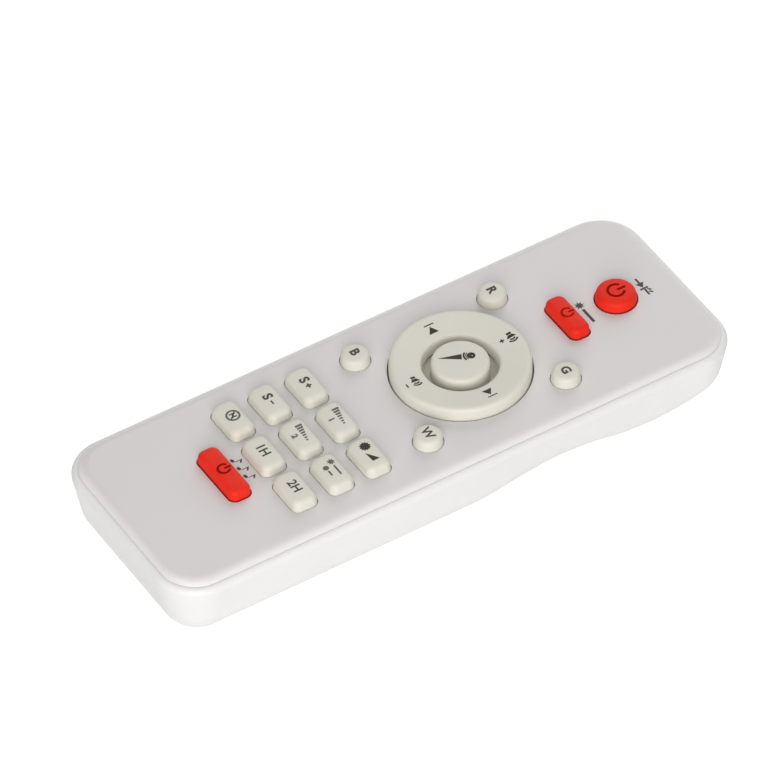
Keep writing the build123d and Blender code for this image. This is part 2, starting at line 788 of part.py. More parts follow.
def main():
    write("bottom_shell", bottom_shell())
    write("top_cover", top_cover())
    write("battery_door", battery_door())
    write("case_screw", case_screw())
    for name, x, y in key_places():
        write(name, key(name, x, y))
        write(name.replace("_key", "_pill"), pill(x, y))
    write("nav_ring", nav_ring())
    write("ring_web", ring_web())
    write("ring_pills", ring_pills())
    write("centre_key", centre_key())
    write("centre_pill", pill(0, ring_y))
    write("keypad_mat", keypad_mat())
    write("circuit_board", circuit_board())
    write("ir_led", ir_led())
    write("led_leads", led_leads())
    write("controller_chip", controller_chip())
    write("transistor", transistor())
    write("resonator", resonator())
    write("capacitor", capacitor())
    write("resistors", resistors())
    write("cell_left", cell(-1))
    write("cell_right", cell(1))
    write("battery_springs", battery_springs())
    write("battery_contacts", battery_contacts())
    print("overall", round(2 * half_width, 2), round(2 * half_length, 2), round(ring_top, 2))


main()
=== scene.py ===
import math

import bpy
import numpy as np
from mathutils import Matrix, Vector


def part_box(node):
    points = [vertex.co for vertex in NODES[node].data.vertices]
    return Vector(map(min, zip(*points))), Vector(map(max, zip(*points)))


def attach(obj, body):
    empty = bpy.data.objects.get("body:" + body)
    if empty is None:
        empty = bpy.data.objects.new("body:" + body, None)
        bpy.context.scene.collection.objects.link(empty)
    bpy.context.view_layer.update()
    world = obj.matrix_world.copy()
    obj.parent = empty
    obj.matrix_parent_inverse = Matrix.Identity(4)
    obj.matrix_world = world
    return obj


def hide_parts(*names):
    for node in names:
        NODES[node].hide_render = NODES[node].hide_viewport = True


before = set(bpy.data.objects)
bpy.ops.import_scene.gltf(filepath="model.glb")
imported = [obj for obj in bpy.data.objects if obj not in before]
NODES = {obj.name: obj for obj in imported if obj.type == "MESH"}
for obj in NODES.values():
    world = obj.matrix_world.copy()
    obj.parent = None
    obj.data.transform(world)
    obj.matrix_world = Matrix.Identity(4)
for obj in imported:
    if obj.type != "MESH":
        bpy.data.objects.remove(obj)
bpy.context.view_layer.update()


# ---- Camera ----
# A long lens, looking down on the handset from its near right side,
# with the tail end nearest and the LED end furthest off.
MM = 0.001
SCENE = bpy.context.scene


def stand_camera():
    azimuth, elevation, roll = (math.radians(a) for a in (58.245, 44.94, -0.819))
    distance, shift_across, shift_up, floor_drop = 1666.219, -3.687, 15.221, 1.3
    pixels_per_mm, pixels, sensor = 5.031, 768, 36
    back = Vector((math.sin(azimuth) * math.cos(elevation),
                   -math.cos(azimuth) * math.cos(elevation), math.sin(elevation)))
    right = (-back).cross(Vector((0, 0, 1))).normalized()
    up = right.cross(-back)
    across = right * math.cos(roll) + up * math.sin(roll)
    upward = up * math.cos(roll) - right * math.sin(roll)
    place = back * distance + across * shift_across + upward * shift_up - Vector((0, 0, floor_drop))
    camera = bpy.data.objects.new("camera", bpy.data.cameras.new("camera"))
    SCENE.collection.objects.link(camera)
    turn = Matrix((across, upward, back)).transposed()
    camera.matrix_world = Matrix.Translation(place * MM) @ turn.to_4x4()
    camera.data.sensor_width = sensor
    camera.data.lens = pixels_per_mm * distance / pixels * sensor
    camera.data.clip_end = 20
    SCENE.camera = camera


stand_camera()


# ---- Floor and light ----
# White paper in a light tent: a broad softbox low on the near side, a weaker one across
# from it, and soft light from the tent's walls, which look white.
def whitened(tree, socket, dim):
    """Shows white to the eye, and in gloss and glass, and the dim level to everything else."""
    path = tree.nodes.new("ShaderNodeLightPath")
    level = path.outputs["Is Camera Ray"]
    for ray in ("Is Glossy Ray", "Is Transmission Ray"):
        either = tree.nodes.new("ShaderNodeMath")
        either.operation = "MAXIMUM"
        tree.links.new(level, either.inputs[0])
        tree.links.new(path.outputs[ray], either.inputs[1])
        level = either.outputs[0]
    shades = tree.nodes.new("ShaderNodeMapRange")
    shades.inputs["To Min"].default_value = dim
    tree.links.new(level, shades.inputs["Value"])
    tree.links.new(shades.outputs[0], socket)


def lay_floor(half=6.0, z=-0.0001):
    """A wide square of paper, just under the face that the handset rests on."""
    corners = [(-half, -half, z), (half, -half, z), (half, half, z), (-half, half, z)]
    mesh = bpy.data.meshes.new("floor")
    mesh.from_pydata(corners, [], [(0, 1, 2, 3)])
    floor = bpy.data.objects.new("floor", mesh)
    SCENE.collection.objects.link(floor)
    paper = bpy.data.materials.new("paper")
    paper.use_nodes = True
    surface = paper.node_tree.nodes["Principled BSDF"]
    surface.inputs["Base Color"].default_value = (0.9, 0.9, 0.9, 1)
    surface.inputs["Roughness"].default_value = 0.9
    surface.inputs["Emission Strength"].default_value = 0.45
    whitened(paper.node_tree, surface.inputs["Emission Color"], 0.0)
    mesh.materials.append(paper)


def hang_light(name, place, size, power):
    """A rectangular lamp, aimed at the middle of the handset's underside."""
    lamp = bpy.data.lights.new(name, "AREA")
    lamp.shape = "RECTANGLE"
    lamp.size, lamp.size_y = size
    lamp.energy = power
    light = bpy.data.objects.new(name, lamp)
    SCENE.collection.objects.link(light)
    light.location = place
    light.rotation_euler = (-Vector(place)).to_track_quat("-Z", "Y").to_euler()


lay_floor()
hang_light("softbox", (0.84, -0.545, 0.47), (0.9, 0.8), 9.8)
hang_light("far_fill", (-0.66, 0.72, 0.55), (0.9, 0.8), 4.6)
world = bpy.data.worlds.new("room")
world.use_nodes = True
world.node_tree.nodes["Background"].inputs["Color"].default_value = (1, 1, 1, 1)
whitened(world.node_tree, world.node_tree.nodes["Background"].inputs["Strength"], 0.42)
SCENE.world = world
SCENE.view_settings.view_transform = "Standard"


class Amount:
    """A number that changes over a surface. A sum written with it adds its Math nodes."""

    def __init__(self, finish, socket):
        self.finish, self.socket = finish, socket

    def sum(self, operation, first, second):
        return self.finish.add("ShaderNodeMath", {"operation": operation}, {0: first, 1: second})

    def __add__(self, other):
        return self.sum("ADD", self, other)

    def __sub__(self, other):
        return self.sum("SUBTRACT", self, other)

    def __rsub__(self, other):
        return self.sum("SUBTRACT", other, self)

    def __mul__(self, other):
        return self.sum("MULTIPLY", self, other)

    def __gt__(self, other):
        return self.sum("GREATER_THAN", self, other)

    def __lt__(self, other):
        return self.sum("LESS_THAN", self, other)

    __radd__ = __add__
    __rmul__ = __mul__


class Finish:
    """One material, built up node by node behind its shader. Sizes are in mm."""

    def __init__(self, name, **fixed):
        self.material = bpy.data.materials.new(name)
        self.material.use_nodes = True
        self.tree = self.material.node_tree
        self.shader = self.tree.nodes["Principled BSDF"]
        for socket, value in fixed.items():
            self.feed(self.shader.inputs[socket.replace("_", " ")], value)
        self.place = self.add("ShaderNodeTexCoord", out="Object")

    def feed(self, socket, value):
        if isinstance(value, Amount):
            self.tree.links.new(value.socket, socket)
        else:
            socket.default_value = value

    def add(self, kind, settings=None, sockets=None, out=0):
        """A node with its settings, then its sockets' values or links; gives back one output."""
        node = self.tree.nodes.new(kind)
        for setting, value in (settings or {}).items():
            setattr(node, setting, value)
        for socket, value in (sockets or {}).items():
            self.feed(node.inputs[socket], value)
        return Amount(self, node.outputs[out])

    def noise(self, size, detail=2.0, stretch=(1, 1, 1)):
        """Cloudy noise with patches of the given size, from about 0.25 to 0.75."""
        where = self.add("ShaderNodeMapping", {}, {"Vector": self.place, "Scale": stretch})
        return self.add("ShaderNodeTexNoise", {},
                        {"Vector": where, "Scale": 1 / (size * MM), "Detail": detail})

    def axis(self, letter):
        """Distance from the origin along one axis, in mm."""
        return self.add("ShaderNodeSeparateXYZ", {}, {0: self.place}, out=letter) * (1 / MM)

    def mix(self, share, first, second):
        """Colour between two colours."""
        return self.add("ShaderNodeMix", {"data_type": "RGBA"},
                        {0: share, 6: first, 7: second}, out=2)

    def spread(self, amount, low, high):
        """Stretches the part of an amount between low and high to 0 to 1."""
        return self.add("ShaderNodeMapRange", {}, {0: amount, 1: low, 2: high})

    def colour(self, value):
        self.feed(self.shader.inputs["Base Color"], value)

    def roughness(self, value):
        self.feed(self.shader.inputs["Roughness"], value)

    def relief(self, height, depth, edge=0.0):
        """Small relief of a depth in mm, over edges eased by a radius in mm."""
        sockets = {"Height": height, "Distance": depth * MM, "Strength": 1.0}
        if edge:
            sockets["Normal"] = self.add("ShaderNodeBevel", {"samples": 4}, {"Radius": edge * MM})
        self.feed(self.shader.inputs["Normal"], self.add("ShaderNodeBump", {}, sockets))

    def on(self, *nodes):
        """Puts the finish on parts that keep their own shape."""
        for node in nodes:
            for place in NODES[node].material_slots:
                place.material = self.material


def shade(colour, share=1.0):
    return tuple(c * share for c in colour) + (1.0,)


def limits(node):
    """Lowest and highest corner of a part, in mm."""
    low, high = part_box(node)
    return np.array(low) / MM, np.array(high) / MM


def moulded_plastic(name, colour, roughness, inner, rim, highlight_share):
    """ABS whose rim is painted lighter by a share, a painted highlight. The change runs from height
    inner to height rim.
    """
    finish = Finish(name, IOR=1.5)
    cloud = finish.spread(finish.noise(18, 3), 0.3, 0.7)
    skin = finish.noise(0.16, 3)
    highlight_band = finish.spread(finish.axis("Z"), inner, rim)
    plain = finish.mix(cloud, shade(colour, 0.985), shade(colour, 1.012))
    # Painted highlight: the colour grows lighter towards the rim, in place of light falling there.
    finish.colour(finish.mix(highlight_band, plain, shade(colour, highlight_share)))
    finish.roughness(skin * 0.16 + (roughness - 0.08) + cloud * 0.03)
    finish.relief(skin, 0.006, edge=0.14)
    return finish


COVER_FACE = limits("top_cover")[1][2]
# The shell is coloured lighter than the cover though both are one plastic, as painted light, and
# lighter still along its top just under the parting line, a painted highlight.
shell_plastic = moulded_plastic("shell_plastic", (0.735, 0.729, 0.720), 0.48,
                                inner=COVER_FACE - 2.3, rim=COVER_FACE - 1.5, highlight_share=1.07)
shell_plastic.on("bottom_shell", "battery_door")


# ---- Battery cells ----
# Two AAA cells lie side by side, head to tail. Each is a plated steel can in a printed
# plastic jacket, with a crimped shoulder at its nub and a bare ring of can at its flat end.
def turned(profile, centre, axis="Z", columns=96, open_middle=False):
    """Profile points (radius, height) carried round an axis through centre, ring by ring:
    centre + radius * (cos t, sin t) across the axis + height along it."""
    frames = {"Z": np.eye(3), "Y": np.array([[0, 0, 1], [1, 0, 0], [0, 1, 0]])}
    across, along, up = frames[axis]
    t = np.linspace(0, 2 * np.pi, columns, endpoint=False)[None, :, None]
    radius, height = profile[:, 0, None, None], profile[:, 1, None, None]
    rings = np.array(centre) + radius * (np.cos(t) * across + np.sin(t) * along) + height * up
    return skin_over(rings, open_middle)


def skin_over(rings, open_middle=False):
    """Points and faces of a closed skin over rings of points. Each ring is joined to the next by
    four-sided faces; the two end rings are filled in, or joined to each other round a hole."""
    rows, columns = rings.shape[:2]
    index = np.arange(rows * columns).reshape(rows, columns)
    here = index if open_middle else index[:-1]
    there = np.roll(index, -1, 0) if open_middle else index[1:]
    quads = np.stack([here, np.roll(here, -1, 1), np.roll(there, -1, 1), there], -1).reshape(-1, 4)
    ends = [] if open_middle else [index[0][::-1].tolist(), index[-1].tolist()]
    return rings.reshape(-1, 3), quads.tolist() + ends


def softened(corners, cuts, closed=False, steps=7):
    """A profile whose corners are rounded: corner p between a and c, each a cut away from it,
    becomes (1 - s)^2 a + 2 s (1 - s) p + s^2 c for s from 0 to 1."""
    p = np.array(corners, float)
    cut = np.array(cuts, float)[:, None]
    before, after = np.roll(p, 1, 0) - p, np.roll(p, -1, 0) - p
    if not closed:
        before[0], after[-1] = -after[0], -before[-1]
    a = p + before / np.linalg.norm(before, axis=1, keepdims=True) * cut
    c = p + after / np.linalg.norm(after, axis=1, keepdims=True) * cut
    s = np.linspace(0, 1, steps)[None, :, None]
    curve = (1 - s) ** 2 * a[:, None] + 2 * s * (1 - s) * p[:, None] + s ** 2 * c[:, None]
    return curve.reshape(-1, 2)


def add_piece(name, shape, finish, body, nodes=(), crease=35):
    """Puts a finished shape, in mm, into the scene and lets it ride on its body."""
    points, faces = shape
    mesh = bpy.data.meshes.new(name)
    mesh.from_pydata((points * MM).tolist(), [], faces)
    mesh.shade_smooth()
    mesh.set_sharp_from_angle(angle=math.radians(crease))
    mesh.materials.append(finish.material)
    piece = bpy.data.objects.new(name, mesh)
    SCENE.collection.objects.link(piece)
    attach(piece, body)
    if nodes:
        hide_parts(*nodes)


def cell_jacket(name, flat_end, direction, film_start, film_end):
    """Printed film, dark green with a pale band, over a steel can that is bare at both ends.
    flat_end is where the can's flat end lies along Y, and direction points to the nub."""
    finish = Finish(name, IOR=1.5, Coat_Roughness=0.12)
    band_start, band_end = 31.0, 34.0
    along = (finish.axis("Y") - flat_end) * direction
    can = (along < film_start) + (along > film_end)
    stripe = (along > band_start) * (along < band_end)
    film = finish.mix(stripe, shade((0.05, 0.20, 0.11)), shade((0.78, 0.78, 0.74)))
    wear = finish.noise(0.5, 3)
    steel = finish.mix(wear, shade((0.55, 0.54, 0.51)), shade((0.70, 0.69, 0.66)))
    finish.colour(finish.mix(can, film, steel))
    finish.feed(finish.shader.inputs["Metallic"], can)
    finish.feed(finish.shader.inputs["Coat Weight"], (1 - can) * 0.5)
    finish.roughness(0.26 + wear * 0.12)
    finish.relief(finish.noise(2.5, 2), 0.01)
    return finish


def add_cell(node, direction):
    """Flat end, film, crimped shoulder and nub as one profile, turned round the long axis."""
    low, high = limits(node)
    radius = (high[0] - low[0]) / 2
    middle = (low + high) / 2
    length = high[1] - low[1]
    flat_end = low[1] if direction > 0 else high[1]
    nub_radius, nub_height, film = 1.9, 1.0, 0.06
    shoulder = length - nub_height
    film_start, film_end = 0.9, shoulder - 1.3
    corners = [(0.4, 0), (radius - film, 0),
               (radius - film, film_start), (radius, film_start + 0.02),
               (radius, film_end), (radius - 0.35, film_end + 0.4), (radius - 0.3, shoulder),
               (nub_radius + 0.5, shoulder), (nub_radius, shoulder - 0.12), (nub_radius, length),
               (0.3, length)]
    cuts = [0.05, 0.35, 0.01, 0.01, 0.3, 0.2, 0.35, 0.1, 0.08, 0.25, 0.05]
    profile = softened(corners, cuts)
    if direction < 0:
        profile = profile[::-1] * (1, -1)
    shape = turned(profile, (middle[0], flat_end, middle[2]), axis="Y", columns=72)
    jacket = cell_jacket(node + "_jacket", flat_end, direction, film_start, film_end)
    add_piece(node.replace("cell", "aaa_cell"), shape, jacket, "handset", [node])


add_cell("cell_left", 1)
add_cell("cell_right", -1)


# ---- Springs, contact plates, screw and LED leads ----
# The springs and plates are nickel-plated steel wire and strip, the screw is zinc plated,
# and the LED's leads are tinned. All are small, a little dull, and scratched by handling.
def plated(name, colour, roughness, grain=0.3, stretch=(1, 1, 1)):
    finish = Finish(name, Metallic=1.0)
    haze = finish.spread(finish.noise(2.2, 3), 0.3, 0.7)
    scratch = finish.noise(grain, 2, stretch)
    finish.colour(finish.mix(haze, shade(colour, 0.9), shade(colour, 1.05)))
    finish.roughness(roughness + (scratch - 0.5) * 0.3)
    finish.relief(scratch, 0.004, edge=0.06)
    return finish


plated("spring_steel", (0.62, 0.62, 0.60), 0.30).on("battery_springs", "battery_contacts")
plated("screw_steel", (0.50, 0.50, 0.48), 0.34, 0.2, (1, 1, 4)).on("case_screw")
plated("tin_wire", (0.68, 0.68, 0.68), 0.25).on("led_leads")


# ---- Circuit board and its components ----
# Brown phenolic laminate with a dull green solder mask over copper tracks that run along
# it, and small black moulded parts underneath. It is clamped between posts and stands.
def laminate():
    finish = Finish("board_laminate", IOR=1.5)
    x, z = finish.axis("X"), finish.axis("Z")
    low, high = limits("circuit_board")
    mask_depth, lane_width, track_edge = 0.15, 0.9, 0.55
    fibre = finish.noise(0.5, 3, (1, 6, 1))
    resin = finish.mix(fibre, shade((0.30, 0.17, 0.06)), shade((0.46, 0.29, 0.12)))
    wander = finish.noise(14, 1) * 9
    lane = finish.add("ShaderNodeMath", {"operation": "PINGPONG"}, {0: x + wander, 1: lane_width})
    track = lane > track_edge
    mask = finish.mix(fibre, shade((0.035, 0.13, 0.05)), shade((0.05, 0.17, 0.07)))
    covered = finish.mix(track, mask, shade((0.10, 0.25, 0.09)))
    outer = (z > high[2] - mask_depth) + (z < low[2] + mask_depth)
    finish.colour(finish.mix(outer, resin, covered))
    finish.roughness(0.36 + fibre * 0.2)
    finish.relief(track + fibre * 0.3, 0.03)
    return finish


def moulded_resin(name, colour):
    finish = Finish(name, IOR=1.55)
    grain = finish.noise(0.12, 3)
    finish.colour(finish.mix(grain, shade(colour, 0.8), shade(colour, 1.3)))
    finish.roughness(0.42 + grain * 0.25)
    finish.relief(grain, 0.008, edge=0.08)
    return finish


laminate().on("circuit_board")
component_black = moulded_resin("component_black", (0.022, 0.022, 0.024))
component_black.on("controller_chip", "transistor", "capacitor", "resistors")
moulded_resin("resonator_ceramic", (0.62, 0.27, 0.04)).on("resonator")


# ---- Infrared LED ----
# A 5 mm LED with a violet-black epoxy lens, glossy as it leaves its mould. Its dome looks
# out of the hole in the head end of the shell.
def lens_epoxy():
    finish = Finish("led_lens", IOR=1.55, Coat_Weight=1.0, Coat_Roughness=0.04)
    depth = finish.noise(1.6, 2)
    finish.colour(finish.mix(depth, shade((0.035, 0.02, 0.06)), shade((0.10, 0.06, 0.17))))
    finish.roughness(0.12 + depth * 0.1)
    finish.relief(depth, 0.01)
    return finish


lens_epoxy().on("ir_led")


# ---- Top cover ----
# Moulded in the same ABS, coloured a little greyer than the shell as painted shade on its
# upward-facing top, with a sloping edge that meets the shell at the parting line and is
# painted lighter, a painted highlight. Sixteen keys and the ring come up through it.
# Its darker colour is painted shade, and its lighter sloping edge is a painted highlight.
cover_plastic = moulded_plastic("cover_plastic", (0.674, 0.652, 0.645), 0.46,
                                inner=COVER_FACE - 0.06, rim=COVER_FACE - 0.6, highlight_share=1.13)
cover_plastic.on("top_cover")


# ---- Rubber keys ----
# One silicone keypad under the cover carries every key: a mat, a thin web round each key,
# and key tops with nearly upright sides and soft shoulders. A carbon pill sits under each.
def silicone(name, colour, deep, gloss=0.5, bloom=0.04, foot=None):
    """Slightly cloudy, matt rubber with a fine grain; deep is the mould's cloudier shade, and
    foot is a painted shade, the colour a key darkens to where it comes out of the cover."""
    finish = Finish(name, IOR=1.42, Specular_IOR_Level=gloss, Sheen_Weight=bloom,
                    Sheen_Roughness=0.5)
    cloud = finish.spread(finish.noise(6, 3), 0.3, 0.7)
    grain = finish.noise(0.14, 3)
    rubber = finish.mix(cloud, shade(deep), shade(colour))
    if foot:
        # Painted shade: the key's base darkens towards the cover, in place of the shadow in the gap
        # round it.
        foot_shade_top, foot_shade_fade = 0.15, 0.32
        above = finish.spread(finish.axis("Z") - COVER_FACE, foot_shade_top, foot_shade_fade)
        rubber = finish.mix(above, shade(foot), rubber)
    finish.colour(rubber)
    finish.roughness(grain * 0.2 + 0.47)
    finish.relief(grain, 0.006)
    return finish


key_rubber = silicone("key_rubber", (0.705, 0.680, 0.600), (0.690, 0.664, 0.582))
# The red keys' foot colour is a painted shade at their base.
red_rubber = silicone("red_rubber", (0.84, 0.024, 0.008), (0.78, 0.018, 0.006),
                      gloss=0.25, bloom=0.0, foot=(0.26, 0.012, 0.008))
mat_rubber = silicone("mat_rubber", (0.62, 0.61, 0.57), (0.58, 0.57, 0.53))
mat_rubber.on("keypad_mat", "ring_web")
pill_carbon = silicone("pill_carbon", (0.024, 0.024, 0.024), (0.016, 0.016, 0.016))
pill_carbon.on(*[name for name in NODES if name.endswith("_pill")], "ring_pills")

CROWN = 0.08


def rounded_outline(half_x, half_y, corner, columns=96):
    """Points round a rectangle with round corners, for every ring at once:
    corner centre + corner * (cos t, sin t), where the centre jumps at each quarter."""
    t = (np.arange(columns) + 0.5) * 2 * np.pi / columns
    corner = np.minimum(corner, np.minimum(half_x, half_y))[:, None]
    x = np.sign(np.cos(t)) * (half_x[:, None] - corner) + corner * np.cos(t)
    y = np.sign(np.sin(t)) * (half_y[:, None] - corner) + corner * np.sin(t)
    return np.stack([x, y], -1)


def key_top(node, half, corner, lean, shoulder):
    """Rings from the flange up: a skirt that nearly fills the opening, a stem that leans in
    steadily, a quarter-circle shoulder, and a top that bulges by CROWN * (1 - s^4), where s
    goes from 1 at the shoulder nearly to 0."""
    low, high = limits(node)
    middle, spread = (low + high) / 2, (high - low) / 2
    flange_top, skirt = low[2] + 0.8, 0.13
    turn = np.linspace(0, np.pi / 2, 9)
    s = np.linspace(1, 0.06, 9)[1:]
    side_top = high[2] - CROWN - shoulder
    inset = np.concatenate([[0, 0, 0], [-skirt, -skirt, -skirt * 0.6, 0],
                            lean + shoulder * (1 - np.cos(turn)), lean + shoulder + 0 * s])
    z = np.concatenate([[low[2], low[2] + 0.15, flange_top],
                        [flange_top, COVER_FACE - 0.45, COVER_FACE - 0.2, COVER_FACE + 0.05],
                        side_top + shoulder * np.sin(turn), high[2] - CROWN * s ** 4])
    scale = np.concatenate([np.ones(len(z) - len(s)), s])
    flange = np.array([0.95, 1, 1] + [0] * (len(z) - 3))
    half_x = half[0] + flange * (spread[0] - half[0]) - inset
    half_y = half[1] + flange * (spread[1] - half[1]) - inset
    corners = corner + flange * 0.3 - inset * 0.55
    outline = rounded_outline(half_x, half_y, corners) * scale[:, None, None]
    height = np.broadcast_to(z[:, None, None], outline.shape[:2] + (1,))
    rings = np.concatenate([outline, height], -1) + (middle[0], middle[1], 0)
    return skin_over(rings)


def add_key(name, half, corner, finish=key_rubber, lean=0.12, shoulder=1.05):
    add_piece(name + "_cap", key_top(name + "_key", half, corner, lean, shoulder), finish,
              name + "_key", [name + "_key"])


GRID_KEYS = ("speed_up", "fade_one", "brightness", "speed_down", "fade_two", "beam_light",
             "timer_off", "timer_one", "timer_two")
for name in GRID_KEYS:
    add_key(name, (4.8, 2.8), 1.6, shoulder=1.3)
for name in ("red", "green", "blue", "white"):
    add_key(name, (3.0, 3.0), 3.0)
add_key("lamp", (4.3, 4.3), 4.3, red_rubber, 0.2, 1.15)
add_key("beam", (5.75, 2.3), 1.6, red_rubber)
add_key("music", (7.15, 2.45), 1.6, red_rubber)


# ---- Ring and centre key ----
# The ring is one round rocker of the same rubber. Its broad top is slightly dished towards a
# deep, steep well, out of which the centre key stands a little higher than the well's edge.
WELL_RADIUS, RING_RADIUS = 7.8, 14.25
WELL_HEIGHT, EDGE_HEIGHT = 4.7, 5.65


def ring_profile(bottom):
    """From the pocket under the ring out over its flange, up the side, in along the dish and
    down the well; heights are above the ring's lowest face."""
    flange, flange_top, pocket, throat, rim = 15.35, 0.5, 10.4, 7.6, 1.75
    corners = [(pocket, 0), (flange, 0), (flange, flange_top), (RING_RADIUS, flange_top),
               (RING_RADIUS, EDGE_HEIGHT), (WELL_RADIUS, WELL_HEIGHT), (throat, rim), (pocket, rim)]
    cuts = [0.1, 0.1, 0.1, 0.1, 1.24, 0.75, 0.1, 0.1]
    return softened(corners, cuts, closed=True, steps=14) + (0, bottom)


def dish(points):
    """Height of the ring's top over its lowest face: a cone from the well to the outer edge."""
    slope = (EDGE_HEIGHT - WELL_HEIGHT) / (RING_RADIUS - WELL_RADIUS)
    return WELL_HEIGHT + (np.hypot(points[:, 0], points[:, 1]) - WELL_RADIUS) * slope


def add_ring():
    """Both are turned. The centre key's flange rises a little from the key's foot to its brim,
    and its top bulges as the other keys' do."""
    low, high = limits("nav_ring")
    middle = ((low[0] + high[0]) / 2, (low[1] + high[1]) / 2, 0)
    add_piece("nav_ring_cap", turned(ring_profile(low[2]), middle, columns=160, open_middle=True),
              key_rubber, "ring", ["nav_ring"])
    low, high = limits("centre_key")
    bottom, top, flange, radius, flat = low[2], high[2], 7.9, 5.9, 4.85
    foot, brim = bottom + 0.8, bottom + 1.0
    s = np.linspace(1, 0.04, 9)[1:, None]
    corners = [(0.3, bottom), (flange, bottom), (flange, brim), (radius, foot),
               (radius, top - CROWN), (flat, top - CROWN)]
    side = softened(corners, [0.1, 0.1, 0.1, 0.4, 1.0, 0.03], steps=9)
    crown = np.concatenate([flat * s, top - CROWN * s ** 4], 1)
    add_piece("centre_key_cap", turned(np.concatenate([side, crown]), middle, columns=128),
              key_rubber, "centre_key", ["centre_key"])


add_ring()


# ---- Printing ----
# The keys' symbols and the pictograms beside the red keys are pad printed in warm greys, and
# the power signs in a thin ink that lets the red through. Each print is 0.04 mm thick.
def ink(name, dark, thin, gloss=0.08):
    finish = Finish(name, IOR=1.48, Specular_IOR_Level=gloss)
    patch = finish.spread(finish.noise(0.35, 3), 0.35, 0.65)
    finish.colour(finish.mix(patch, shade(dark), shade(thin)))
    finish.roughness(0.42 + patch * 0.12)
    finish.relief(patch, 0.003)
    return finish


dark_ink = ink("dark_ink", (0.040, 0.036, 0.030), (0.055, 0.050, 0.042))
letter_ink = ink("letter_ink", (0.072, 0.067, 0.057), (0.095, 0.089, 0.077))
grey_ink = ink("grey_ink", (0.120, 0.116, 0.106), (0.160, 0.154, 0.142))
label_ink = ink("label_ink", (0.075, 0.071, 0.068), (0.100, 0.096, 0.092))
red_key_ink = ink("red_key_ink", (0.240, 0.008, 0.003), (0.300, 0.010, 0.004), 0.0)
faint_red_ink = ink("faint_red_ink", (0.330, 0.012, 0.005), (0.400, 0.014, 0.006), 0.0)
INK_UNDER, INK_OVER = 0.02, 0.02


def flat_mesh(curve):
    """Points and faces of a filled flat curve or a word."""
    draft = bpy.data.objects.new("draft", curve)
    SCENE.collection.objects.link(draft)
    graph = bpy.context.evaluated_depsgraph_get()
    mesh = bpy.data.meshes.new_from_object(draft.evaluated_get(graph))
    points = np.empty(len(mesh.vertices) * 3)
    mesh.vertices.foreach_get("co", points)
    faces = [list(face.vertices) for face in mesh.polygons]
    bpy.data.objects.remove(draft)
    bpy.data.curves.remove(curve)
    bpy.data.meshes.remove(mesh)
    return points.reshape(-1, 3), faces


def filled(outlines):
    """Closed outlines (x, y), filled in; one inside another is a hole."""
    curve = bpy.data.curves.new("outlines", "CURVE")
    curve.dimensions, curve.fill_mode, curve.extrude = "2D", "BOTH", (INK_UNDER + INK_OVER) / 2
    for outline in outlines:
        spline = curve.splines.new("POLY")
        spline.points.add(len(outline) - 1)
        co = np.concatenate([outline, np.zeros((len(outline), 1)), np.ones((len(outline), 1))], 1)
        spline.points.foreach_set("co", co.ravel())
        spline.use_cyclic_u = True
    return flat_mesh(curve)


def word(letters, height, middle=(0, 0), weight=0.12):
    """Letters, scaled to a height and centred."""
    curve = bpy.data.curves.new("word", "FONT")
    curve.body, curve.extrude, curve.resolution_u = letters, (INK_UNDER + INK_OVER) / 2, 6
    curve.size, curve.offset = height * 1.4, weight
    points, faces = flat_mesh(curve)
    low, high = points[:, :2].min(0), points[:, :2].max(0)
    points[:, :2] = (points[:, :2] - (low + high) / 2) * height / (high[1] - low[1]) + middle
    return points, faces


def printed(name, node, body, parts, finish=dark_ink, at=None, dished=False):
    """One piece of print: parts are points and faces about the key's middle."""
    low, high = limits(node)
    x, y = at if at else ((low[0] + high[0]) / 2, (low[1] + high[1]) / 2)
    points, faces = [], []
    for part_points, part_faces in parts:
        start = sum(len(p) for p in points)
        z = low[2] + dish(part_points) if dished else np.full(len(part_points), high[2])
        lift = np.stack([np.full(len(z), x), np.full(len(z), y), z + (INK_OVER - INK_UNDER) / 2], 1)
        points.append(part_points + lift)
        faces += [[start + i for i in face] for face in part_faces]
    add_piece(name, (np.concatenate(points), faces), finish, body, crease=20)


def arc(radius, start, end, middle=(0, 0), steps=24):
    """Points of a circle's arc, from start to end degrees."""
    t = np.radians(np.linspace(start, end, steps))
    return np.stack([middle[0] + radius * np.cos(t), middle[1] + radius * np.sin(t)], -1)


def band(radius, width, start, end, middle=(0, 0)):
    """Outline of a curved stroke: the outer arc one way, the inner arc back."""
    return np.concatenate([arc(radius + width / 2, start, end, middle),
                           arc(radius - width / 2, start, end, middle)[::-1]])


def bar(x0, y0, x1, y1, width):
    """Outline of a straight stroke between two points."""
    run = np.array([x1 - x0, y1 - y0])
    side = np.array([-run[1], run[0]]) / np.hypot(*run) * width / 2
    ends = np.array([[x0, y0], [x1, y1]])
    return np.concatenate([ends + side, (ends - side)[::-1]])


def disc(radius, middle=(0, 0)):
    """Points of a whole circle, 15 degrees apart."""
    return arc(radius, 0, 345, middle)


def polygon(*points):
    """Outline through the given corners."""
    return np.array(points, float)


def power_sign(diameter, stroke):
    """A ring open at the top with a bar through the gap."""
    radius = (diameter - stroke) / 2
    return [band(radius, stroke, 125, 415), bar(0, radius * 0.15, 0, radius + stroke * 0.9, stroke)]


def plus_sign(x, y, arm=0.5, half=0.15):
    """A cross with arms of equal length, one quarter of its outline four times over."""
    quarter = np.array([half + half * 1j, half + arm * 1j, -half + arm * 1j])
    outline = np.concatenate([quarter * 1j ** turn for turn in range(4)])
    return np.stack([x + outline.real, y + outline.imag], -1)


